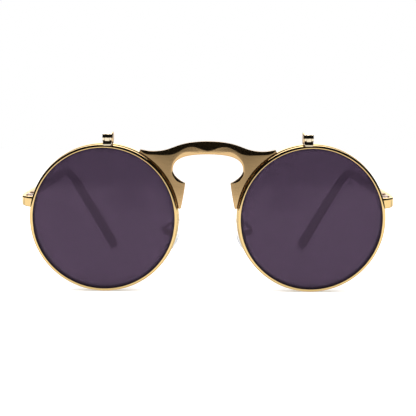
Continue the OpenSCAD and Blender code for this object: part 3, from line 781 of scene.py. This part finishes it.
VALLEY = (9.7 * MM, 2.9 * MM)  # out from the rim's nose side, and down from its top
HORN_ANGLE = math.radians(62)  # where on the rim the horn ends
HORN_W = 1.1 * MM
LEG_Z = 3.7 * MM  # height of the leg's end above the lens centres
ARCH_SIDE = (2.3 * MM, 5 * MM)  # out from the rim's nose side, and up from the spur
FLAT_REACH = 0.04 * MM  # of the crown, where the front stays flat up to its edge
SPUR_REACH = (1.4 * MM, 0.45 * MM)  # of the crown, beside the spur and beside the arch
SPUR_EDGE = (0.1 * MM, 0.4)  # edge radius at the spur's point, and its growth from there
LEG_EDGE = (0.22 * MM, 0.1)  # the same for the leg's end


def on_seat(angle, extra=0.0):
    """A point where the bridge lies against the right rim, at an angle from the nose side"""
    r = RIM_R + BRAZE + extra
    return Vector((LENS_X - r * math.cos(angle), r * math.sin(angle)))


def bridge_valley():
    """The low point of the top edge, where the bridge meets the rear rim's line"""
    return Vector((LENS_X - RIM_R + VALLEY[0], RIM_R - VALLEY[1]))


def hump(x, at, wide):
    """A smooth hump; at and wide are shares of the way out to the valley"""
    valley = bridge_valley().x
    return math.exp(-((x - at * valley) / (wide * valley)) ** 2)


def top_reach(x):
    """How far the front's crown reaches down from the top edge: nearly to the arch in the
    middle, then narrow, and wider again over the legs"""
    band = bpy.context.scene.bridge_sizes.band
    return band * (0.26 + 0.48 * hump(x, 0, 0.22) + 0.26 * hump(x, 0.64, 0.2))


def arch_reach(x):
    """How far it reaches up from the arch: least in the middle, most on either side of it"""
    band = bpy.context.scene.bridge_sizes.band
    return band * (0.15 + 0.23 * hump(x, 0.42, 0.16))


def crown_fall(reach):
    """How far the crowned front has fallen back where it meets the rounded edge"""
    return (reach - FLAT_REACH) * bpy.context.scene.bridge_sizes.crown


def crown_slope(reach):
    """Slope of the crown where it meets the rounded edge"""
    return math.atan(2 * crown_fall(reach) / reach)


def edge_radius(p):
    """Radius of the rounded edge, which is sharper where spurs and legs end"""
    sizes = bpy.context.scene.bridge_sizes
    here = Vector((abs(p.x), p.y))
    spur, leg_end = spur_point(), leg_end_point()
    return min(sizes.edge_round, SPUR_EDGE[0] + SPUR_EDGE[1] * (here - spur).length,
               LEG_EDGE[0] + LEG_EDGE[1] * (here - leg_end).length)


def spur_point():
    """The point of the spur that looks towards the nose"""
    sizes = bpy.context.scene.bridge_sizes
    return Vector((LENS_X - RIM_R - sizes.spur_reach, sizes.spur_z))


def leg_angle():
    """Where on the rim the leg ends"""
    return math.asin(LEG_Z / RIM_R)


def leg_end_point():
    """The corner of the leg's end that is away from the rim"""
    return on_seat(leg_angle()) - Vector((bpy.context.scene.bridge_sizes.leg_end_w, 0))


def half_bridge():
    """Half of the bridge's outline, from the middle of the top to the middle of the arch,
    and how far the crown reaches in from each of its points"""
    sizes = bpy.context.scene.bridge_sizes
    nose_x = LENS_X - RIM_R
    top = RIM_R + sizes.rise
    arch_top = top - sizes.band
    valley = bridge_valley()
    horn = on_seat(HORN_ANGLE, HORN_W)
    arch_side = Vector((nose_x + ARCH_SIDE[0], sizes.spur_z + ARCH_SIDE[1]))
    spur = spur_point()
    seat_end = on_seat(leg_angle())
    leg_end = leg_end_point()

    def flat(points):
        """Points with no crown beside them"""
        return [(p, FLAT_REACH) for p in points]

    def step(x, z):
        """A step of so many millimetres"""
        return Vector((x * MM, z * MM))

    # The top edge down to the valley, then the horn, the seat on the rim and the leg's end
    line = [(p, top_reach(p.x)) for p in bezier(
        [Vector((0, top)), Vector((0.63 * valley.x, top)),
         Vector((0.59 * valley.x, valley.y)), valley], 48)]
    horn_steps = 12
    for i, p in enumerate(bezier([valley, valley + step(1.6, 0), horn - step(1.4, 0.35),
                                  horn], horn_steps, 1)):
        line.append((p, mix(top_reach(valley.x), FLAT_REACH, ((i + 1) / horn_steps) ** 4)))
    line += flat([on_seat(mix(HORN_ANGLE, leg_angle(), i / 40)) for i in range(41)])
    line += flat(bezier([seat_end, seat_end - step(0, 0.45), leg_end - step(0, 0.45),
                         leg_end], 8, 1))
    # Up the leg's nose side to the spur, in to the side of the arch, and over the arch
    line += flat(bezier([leg_end, leg_end + step(-0.6, 2.9), spur + step(0.37, -3.1), spur],
                        16, 1))
    spur_steps = 20
    for i, p in enumerate(bezier([spur + step(0.1, 0.25), spur + step(2.2, 1.1),
                                  arch_side - step(0, 1.85), arch_side], spur_steps)):
        grown = min(1, 2.5 * i / spur_steps)
        line.append((p, mix(FLAT_REACH, mix(*SPUR_REACH, i / spur_steps), grown)))
    arch_steps = 40
    for i, p in enumerate(bezier([arch_side, arch_side + step(0, 3.95),
                                  Vector((9.3 * MM, arch_top)), Vector((0, arch_top))],
                                 arch_steps, 1)):
        grown = min(1, 1.4 * (i + 1) / arch_steps)
        line.append((p, mix(SPUR_REACH[1], arch_reach(p.x), grown)))
    return line


class GLASSES_OT_bridge(bpy.types.Operator):
    """Make the bridge plate with its crowned front"""

    bl_idname = "glasses.bridge"
    bl_label = "Bridge"

    def execute(self, context):
        sizes = context.scene.bridge_sizes
        half = half_bridge()
        line = half + [(Vector((-p.x, p.y)), reach) for p, reach in half[-2:0:-1]]
        count = len(line)
        radii = [edge_radius(p) for p, _ in line]
        front = rear_front_y() - sizes.proud
        back = front + sizes.thickness

        def ring(y, inset, depth):
            """The outline moved inwards by inset and back by depth at each of its points"""
            points = []
            for i, (p, reach) in enumerate(line):
                tangent = unit(line[(i + 1) % count][0] - line[i - 1][0])
                inward = Vector((tangent.y, -tangent.x))
                q = p + inward * inset(reach, radii[i])
                points.append(Vector((q.x, y + depth(reach, radii[i]), q.y)))
            return points

        # The front's crown, then the rounded edge that goes on from its slope, then the back
        rings = []
        crown_steps = 12
        for i in range(crown_steps + 1):
            s = 1 - i / crown_steps
            rings.append(ring(
                front, lambda reach, r: r * (1 - math.sin(crown_slope(reach))) + reach * s,
                lambda reach, r: crown_fall(reach) * (1 - s) ** 2))
        edge_steps = 8
        for i in range(1, edge_steps + 1):
            def turn(reach):
                """Slope of the rounded edge at this ring"""
                return mix(crown_slope(reach), math.pi / 2, i / edge_steps)

            rings.append(ring(
                front, lambda reach, r: r * (1 - math.sin(turn(reach))),
                lambda reach, r: crown_fall(reach)
                + r * (math.cos(crown_slope(reach)) - math.cos(turn(reach)))))
        for angle in (90, 72, 54, 36, 18, 0):
            a = math.radians(angle)
            rings.append(ring(back, lambda reach, r: r * (1 - math.sin(a)),
                              lambda reach, r: -r * (1 - math.cos(a))))
        points, faces = skin(rings)
        make_piece("bridge_plate", points, faces, "front", "gold_metal", brushed_gold(),
                   ["bridge"], sharp=50)
        return {"FINISHED"}


BUTT_GAP = (0.25 * MM, 0.02 * MM)  # from the hinge pin to the end piece and to the arm
EAR_SOFT = 13 * MM  # length of the ear bend on either side of its corner
SLEEVE_ROUND = 1.25 * MM
SLEEVE_STEP = 1 * MM  # how much higher than the strip the plastic tip is where it begins
SWELL_RINGS = 8  # rings from the end of the ear bend at which the tip begins to swell
CORE_H_EXTRA = 0.3 * MM  # how much higher than thick the core wire is
CORE_ROUND = 0.4 * MM
STRIP_PROUD = 0.2 * MM  # how far the end pieces stand in front of the rear rims
CORNER = (2.4 * MM, 3.4 * MM)  # width and depth of the end pieces' bend
BEND_TO_BUTT = (1.6 * MM, 0.85)  # last stretch, and share of the rise that comes before it


def arm_start():
    """Where the right arm's middle line begins, just behind the hinge pin"""
    sizes = bpy.context.scene.temple_sizes
    strip_x = LENS_X + RIM_R + sizes.end_reach - sizes.strip_t / 2
    return Vector((strip_x, sizes.hinge_y + BUTT_GAP[1], sizes.hinge_z))


def temple_route():
    """The temple's middle line: straight to the ear, round the bend, down to the tip"""
    sizes = bpy.context.scene.temple_sizes
    start = arm_start()
    ear = Vector((start.x - sizes.bend_in, sizes.hinge_y + sizes.bend_y,
                  sizes.hinge_z + sizes.bend_rise))
    tip_end = ear + Vector((-sizes.tip_in, sizes.tip_back, -sizes.tip_drop))
    ear_in = ear - unit(ear - start) * EAR_SOFT
    ear_out = ear + unit(tip_end - ear) * EAR_SOFT
    bend = bezier([ear_in, mix(ear_in, ear, 0.75), mix(ear_out, ear, 0.75), ear_out], 28)
    return start, ear_in, bend, ear_out, tip_end


class GLASSES_OT_temples(bpy.types.Operator):
    """Make the temple arms and their plastic tips"""

    bl_idname = "glasses.temples"
    bl_label = "Temples"

    def execute(self, context):
        sizes = context.scene.temple_sizes
        start, ear_in, bend, ear_out, tip_end = temple_route()
        mouth = mix(start, ear_in, sizes.sleeve_y / (ear_in.y - start.y))

        # The arm: a strip that grows lower, then the core wire inside the plastic
        count = 12
        strip = [mix(start, mouth, i / count) for i in range(count + 1)]
        heights = [mix(sizes.butt_h, sizes.sleeve_h - SLEEVE_STEP, (i / count) ** 1.4)
                   for i in range(count + 1)]
        core = [mix(mouth, ear_in, 0.02), mix(mouth, ear_in, 0.5), *bend,
                mix(ear_out, tip_end, 0.5), mix(ear_out, tip_end, 0.75)]
        core_section = round_rect(sizes.core_t, sizes.core_t + CORE_H_EXTRA, CORE_ROUND)
        arm = along(strip + core, [round_rect(sizes.strip_t, h, sizes.strip_round)
                                   for h in heights]
                    + [core_section] * len(core))

        # The tip: a rounded mouth, given as millimetres along it and share of its size,
        # then a sleeve that swells towards a domed end
        mouth_cuts = ((0.0, 0.55), (0.05, 0.72), (0.2, 0.86), (0.5, 0.95), (1.0, 1.0))
        lip = [mouth + unit(ear_in - mouth) * cut * MM for cut, _ in mouth_cuts]
        straight = [mix(mouth, ear_in, k) for k in (0.2, 0.4, 0.6, 0.8)]
        drop = [mix(ear_out, tip_end, i / 16) for i in range(1, 17)]
        body = lip + straight + bend + drop
        swell = len(body) - len(drop) - SWELL_RINGS
        sections = []
        for k in range(len(body)):
            s = mouth_cuts[k][1] if k < len(mouth_cuts) else 1
            grown = max(0, (k - swell) / (len(body) - 1 - swell))
            h = mix(sizes.sleeve_h, sizes.tip_h, grown * grown * (3 - 2 * grown))
            sections.append(round_rect(sizes.sleeve_t * s, h * s, SLEEVE_ROUND * s, 8))
        lead = unit(tip_end - ear_out)
        for angle in (15, 30, 45, 60, 72, 82):
            a = math.radians(angle)
            body.append(tip_end + lead * (sizes.tip_h / 2) * math.sin(a))
            sections.append(round_rect(sizes.sleeve_t * math.cos(a), sizes.tip_h * math.cos(a),
                                       SLEEVE_ROUND * math.cos(a), 8))
        sleeve = along(body, sections)
        for name, side in SIDES.items():
            make_piece(name + "_arm", *skin(arm), name + "_temple", "gold_metal",
                       polished_gold(), [name + "_temple_arm"], side)
            make_piece(name + "_tip_sleeve", *skin(sleeve), name + "_temple",
                       "dark_plastic", tip_plastic(), [name + "_temple_tip"], side)
        return {"FINISHED"}


class GLASSES_OT_end_pieces(bpy.types.Operator):
    """Make the end pieces, bent back from the rims to the hinges"""

    bl_idname = "glasses.end_pieces"
    bl_label = "End pieces"

    def execute(self, context):
        sizes = context.scene.temple_sizes
        strip_x = arm_start().x
        end_y = rear_front_y() + sizes.strip_t / 2 - STRIP_PROUD
        bend_w, bend_l = CORNER
        seat_r = RIM_R + BRAZE
        lie = math.asin(sizes.end_z / seat_r)

        def on_rim(z):
            """Where the strip's cut end meets the rim, at a height z"""
            return LENS_X + (seat_r - z * math.sin(lie)) / math.cos(lie)

        butt_y = sizes.hinge_y - BUTT_GAP[0]
        route = [Vector((on_rim(sizes.end_z), end_y, sizes.end_z))]
        corner_steps = 14
        for i in range(corner_steps + 1):
            a = math.radians(90 * i / corner_steps)
            z = mix(sizes.end_z, sizes.hinge_z, 0.5 * i / corner_steps)
            route.append(Vector((strip_x - bend_w + bend_w * math.sin(a),
                                 end_y + bend_l - bend_l * math.cos(a), z)))
        stretch, risen = BEND_TO_BUTT
        route.append(Vector((strip_x, butt_y - stretch,
                             mix(sizes.end_z, sizes.hinge_z, risen))))
        route.append(Vector((strip_x, butt_y, sizes.hinge_z)))
        last = len(route) - 1
        rings = along(route, [round_rect(sizes.strip_t,
                                         mix(sizes.end_h, sizes.butt_h, (k / last) ** 2),
                                         sizes.strip_round) for k in range(last + 1)])
        rings[0] = [Vector((on_rim(p.z), p.y, p.z)) for p in rings[0]]
        for name, side in SIDES.items():
            make_piece(name + "_end_strip", *skin(rings), "front", "gold_metal",
                       polished_gold(), [name + "_end_piece"], side)
        return {"FINISHED"}


def pad_place():
    """The right pad's own frame: face towards -X, height along Z"""
    sizes = bpy.context.scene.pad_sizes
    return (Matrix.Translation((sizes.pitch / 2, sizes.depth, -sizes.drop))
            @ Matrix.Rotation(-sizes.splay, 4, "Z") @ Matrix.Rotation(-sizes.flare, 4, "Y"))


class GLASSES_OT_nose_pads(bpy.types.Operator):
    """Make the nose pads"""

    bl_idname = "glasses.nose_pads"
    bl_label = "Nose pads"

    def execute(self, context):
        sizes = context.scene.pad_sizes
        place = pad_place()
        taper = 0.16  # narrower at the top than at the bottom, as a share of the width
        bow_end = 0.5 * MM  # how far the ends bow away from the nose
        rings = []
        steps, around = 32, 48
        for i in range(steps + 1):
            a = math.radians(mix(-88, 88, i / steps))
            wide = sizes.width / 2 * math.cos(a) * (1 - taper * math.sin(a))
            thick = sizes.thickness / 2 * math.cos(a) ** 0.7
            bow = bow_end * math.sin(a) ** 2
            z = sizes.height / 2 * math.sin(a)
            ring = []
            for j in range(around):
                turn = math.radians(360 / around * j)
                ring.append(place @ Vector((thick * math.cos(turn) + bow,
                                            wide * math.sin(turn), z)))
            rings.append(ring)
        for name, side in SIDES.items():
            make_piece(name + "_pad", *skin(rings), name + "_pad", "clear_pad",
                       pad_plastic(), [name + "_nose_pad"], side, sharp=80)
        return {"FINISHED"}


SOFT_EDGE = 0.07 * MM
PLAIN_NODES = {
    "rim_lock": satin_gold, "hinge_block": satin_gold, "temple_hinge": satin_gold,
    "flip_bracket": pale_gold, "flip_arm": pale_gold, "pad_box": polished_gold,
    "pad_wire": polished_gold, "lock_screw": screw_gold, "hinge_screw": screw_gold,
    "flip_screw": screw_gold, "pad_screw": screw_gold,
}


class GLASSES_OT_fittings(bpy.types.Operator):
    """Finish the small machined parts that stay as the frame has them"""

    bl_idname = "glasses.fittings"
    bl_label = "Fittings"

    def execute(self, context):
        for name in SIDES:
            for part, finish in PLAIN_NODES.items():
                node = frame["nodes"][name + "_" + part]
                node.data.materials.clear()
                node.data.materials.append(finish())
                for face in node.data.polygons:
                    face.material_index = 0
                weld = node.modifiers.new("Weld", "WELD")
                weld.merge_threshold = TOUCH
                soft = node.modifiers.new("Soft edges", "BEVEL")
                soft.width = SOFT_EDGE
                soft.segments = 2
                soft.limit_method = "ANGLE"
                soft.angle_limit = math.radians(40)
                soft.harden_normals = False
        return {"FINISHED"}


class GLASSES_OT_stage(bpy.types.Operator):
    """Set the floor, the light and the camera"""

    bl_idname = "glasses.stage"
    bl_label = "Stage"

    def execute(self, context):
        scene = context.scene
        scene.view_settings.view_transform = "Standard"
        make_camera(scene)
        make_world(scene)
        make_floor(scene)
        make_lamps(scene)
        return {"FINISHED"}


def make_camera(scene):
    """A camera at the photograph's place, a little above the front's own level"""
    distance = 300 * MM
    pitch = math.radians(8.13)
    roll = math.radians(0.31)
    aim = Vector((0.1 * MM, 0, 4.2 * MM))
    eye = aim + distance * Vector((0, -math.cos(pitch), math.sin(pitch)))
    place = glasses_to_row()
    data = bpy.data.cameras.new("Camera")
    data.sensor_width = 36
    data.lens = 70.54
    data.clip_start = 10 * MM
    camera = bpy.data.objects.new("Camera", data)
    scene.collection.objects.link(camera)
    look = place @ aim - place @ eye
    turn = look.to_track_quat("-Z", "Y").to_matrix().to_4x4()
    camera.matrix_world = (Matrix.Translation(place @ eye) @ turn
                           @ Matrix.Rotation(roll, 4, "Z"))
    scene.camera = camera


def make_world(scene):
    """White all round, but with a black field in front for polished metal to mirror"""
    world = bpy.data.worlds.new("Studio")
    scene.world = world
    world.use_nodes = True
    tree = world.node_tree
    background = tree.nodes["Background"]
    background.inputs["Color"].default_value = (1, 1, 1, 1)
    way = tree.nodes.new("ShaderNodeTexCoord")
    split = tree.nodes.new("ShaderNodeSeparateXYZ")
    feed(tree, split.inputs["Vector"], way.outputs["Generated"])
    # A black field stands in front and at the sides, from the horizon nearly to the top
    above = map_range(tree, split.outputs["Z"], -0.06, -0.02)
    aside = calculate(tree, "ABSOLUTE", split.outputs["X"])
    depth = calculate(tree, "MULTIPLY_ADD", aside, -1.1, split.outputs["Y"])
    ahead = map_range(tree, depth, -0.1, 0.05, 1.0, 0.0)
    field = calculate(tree, "MULTIPLY", above, ahead)
    overhead = map_range(tree, split.outputs["Z"], 0.1, 0.8, 1.0, 2.4)
    bright = calculate(tree, "SUBTRACT", 1.0, field)
    tone = calculate(tree, "MULTIPLY_ADD", bright, overhead, 0.005)
    lift = calculate(tree, "SUBTRACT", tone, 1.0)
    seen = calculate(tree, "MULTIPLY_ADD", lift, mirror_ray(tree), 1.0)
    feed(tree, background.inputs["Strength"], seen)


def floor_tone(tree):
    """What polished metal mirrors of the floor: darker beside the rims as a painted shadow of
    the glasses and white further off, with a grey patch in front of each leg of the bridge, and
    dark at last"""
    place = tree.nodes.new("ShaderNodeNewGeometry")
    split = tree.nodes.new("ShaderNodeSeparateXYZ")
    feed(tree, split.inputs["Vector"], place.outputs["Position"])
    front = CAD_BOX[0].y
    ahead = calculate(tree, "SUBTRACT", front, split.outputs["Y"])
    # Painted shadow of the glasses: the floor mirrors darker under them and for 8 mm in front
    near = map_range(tree, ahead, 0.0, 8 * MM, 0.68, 1.0)
    behind = map_range(tree, ahead, -160 * MM, -120 * MM, 0.4, 0.0)
    aside = calculate(tree, "ABSOLUTE", split.outputs["X"])
    inner = map_range(tree, aside, 6 * MM, 16 * MM)
    outer = map_range(tree, aside, 40 * MM, 80 * MM, 1.0, 0.0)
    starts = map_range(tree, ahead, 150 * MM, 210 * MM, 0.0, 0.6)
    ends = map_range(tree, ahead, 430 * MM, 560 * MM, 1.0, 0.0)
    strip = calculate(tree, "MULTIPLY", inner, outer)
    length = calculate(tree, "MULTIPLY", starts, ends)
    grey = calculate(tree, "MULTIPLY", strip, length)
    far = map_range(tree, ahead, 340 * MM, 640 * MM, 0.0, 0.95)
    lit = calculate(tree, "ADD", near, behind)
    left = calculate(tree, "SUBTRACT", lit, grey)
    return calculate(tree, "SUBTRACT", left, far)


def make_floor(scene):
    """A wide white floor that keeps a faint shadow"""
    half = 4.0
    below = 0.05 * MM  # so that the rims stand clear of it
    mesh = bpy.data.meshes.new("floor")
    mesh.from_pydata([(-half, -half, 0), (half, -half, 0), (half, half, 0), (-half, half, 0)],
                     [], [(0, 1, 2, 3)])
    floor = bpy.data.objects.new("floor", mesh)
    floor.location.z = -below
    scene.collection.objects.link(floor)
    material, shader = start_material("White floor")
    tree = material.node_tree
    shader.inputs["Base Color"].default_value = (0.85, 0.85, 0.85, 1)
    shader.inputs["Roughness"].default_value = 0.8
    shader.inputs["Specular IOR Level"].default_value = 0
    path = tree.nodes.new("ShaderNodeLightPath")
    seen = calculate(tree, "MAXIMUM", path.outputs["Is Camera Ray"],
                     path.outputs["Is Transmission Ray"])
    shader.inputs["Emission Color"].default_value = (1, 1, 1, 1)
    feed(tree, shader.inputs["Emission Strength"], calculate(tree, "MULTIPLY", seen, 0.35))
    mirrored = tree.nodes.new("ShaderNodeEmission")
    feed(tree, mirrored.inputs["Strength"], floor_tone(tree))
    both = tree.nodes.new("ShaderNodeMixShader")
    for socket, value in zip(both.inputs, (mirror_ray(tree), shader.outputs["BSDF"],
                                           mirrored.outputs["Emission"])):
        feed(tree, socket, value)
    feed(tree, tree.nodes["Material Output"].inputs["Surface"], both.outputs["Shader"])
    mesh.materials.append(material)


def make_lamps(scene):
    """Two soft lamps above, which only the floor and the plastic show"""
    for name, place in (("Lamp left", (-0.5, -0.35, 0.7)),
                        ("Lamp right", (0.5, -0.3, 0.75))):
        data = bpy.data.lights.new(name, "AREA")
        data.energy = 4.0
        data.size = 0.5
        lamp = bpy.data.objects.new(name, data)
        scene.collection.objects.link(lamp)
        lamp.location = place
        lamp.rotation_euler = (-Vector(place)).to_track_quat("-Z", "Y").to_euler()
        lamp.visible_glossy = False


class GLASSES_PT_panel(bpy.types.Panel):
    """Lists the steps in the sidebar"""

    bl_label = "Flip Up Sunglasses"
    bl_idname = "GLASSES_PT_panel"
    bl_space_type = "VIEW_3D"
    bl_region_type = "UI"
    bl_category = "Glasses"

    def draw(self, context):
        for operator in OPERATORS:
            self.layout.operator(operator.bl_idname)
        for group in ("front_sizes", "bridge_sizes", "temple_sizes", "pad_sizes", "finish"):
            box = self.layout.box()
            settings = getattr(context.scene, group)
            for name in settings.__annotations__:
                box.prop(settings, name)


GROUPS = {"front_sizes": FrontSizes, "bridge_sizes": BridgeSizes,
          "temple_sizes": TempleSizes, "pad_sizes": PadSizes, "finish": Finish}
OPERATORS = (GLASSES_OT_rims, GLASSES_OT_lenses, GLASSES_OT_bridge, GLASSES_OT_end_pieces,
             GLASSES_OT_temples, GLASSES_OT_nose_pads, GLASSES_OT_fittings,
             GLASSES_OT_stage)


def register():
    for group in GROUPS.values():
        bpy.utils.register_class(group)
    for name, group in GROUPS.items():
        setattr(bpy.types.Scene, name, bpy.props.PointerProperty(type=group))
    for operator in OPERATORS:
        bpy.utils.register_class(operator)
    bpy.utils.register_class(GLASSES_PT_panel)


def unregister():
    bpy.utils.unregister_class(GLASSES_PT_panel)
    for operator in reversed(OPERATORS):
        bpy.utils.unregister_class(operator)
    for name, group in GROUPS.items():
        delattr(bpy.types.Scene, name)
        bpy.utils.unregister_class(group)


def main():
    """Makes all the pieces and the stage"""
    register()
    bpy.ops.glasses.rims()
    bpy.ops.glasses.lenses()
    bpy.ops.glasses.bridge()
    bpy.ops.glasses.end_pieces()
    bpy.ops.glasses.temples()
    bpy.ops.glasses.nose_pads()
    bpy.ops.glasses.fittings()
    bpy.ops.glasses.stage()


if __name__ == "__main__":
    main()
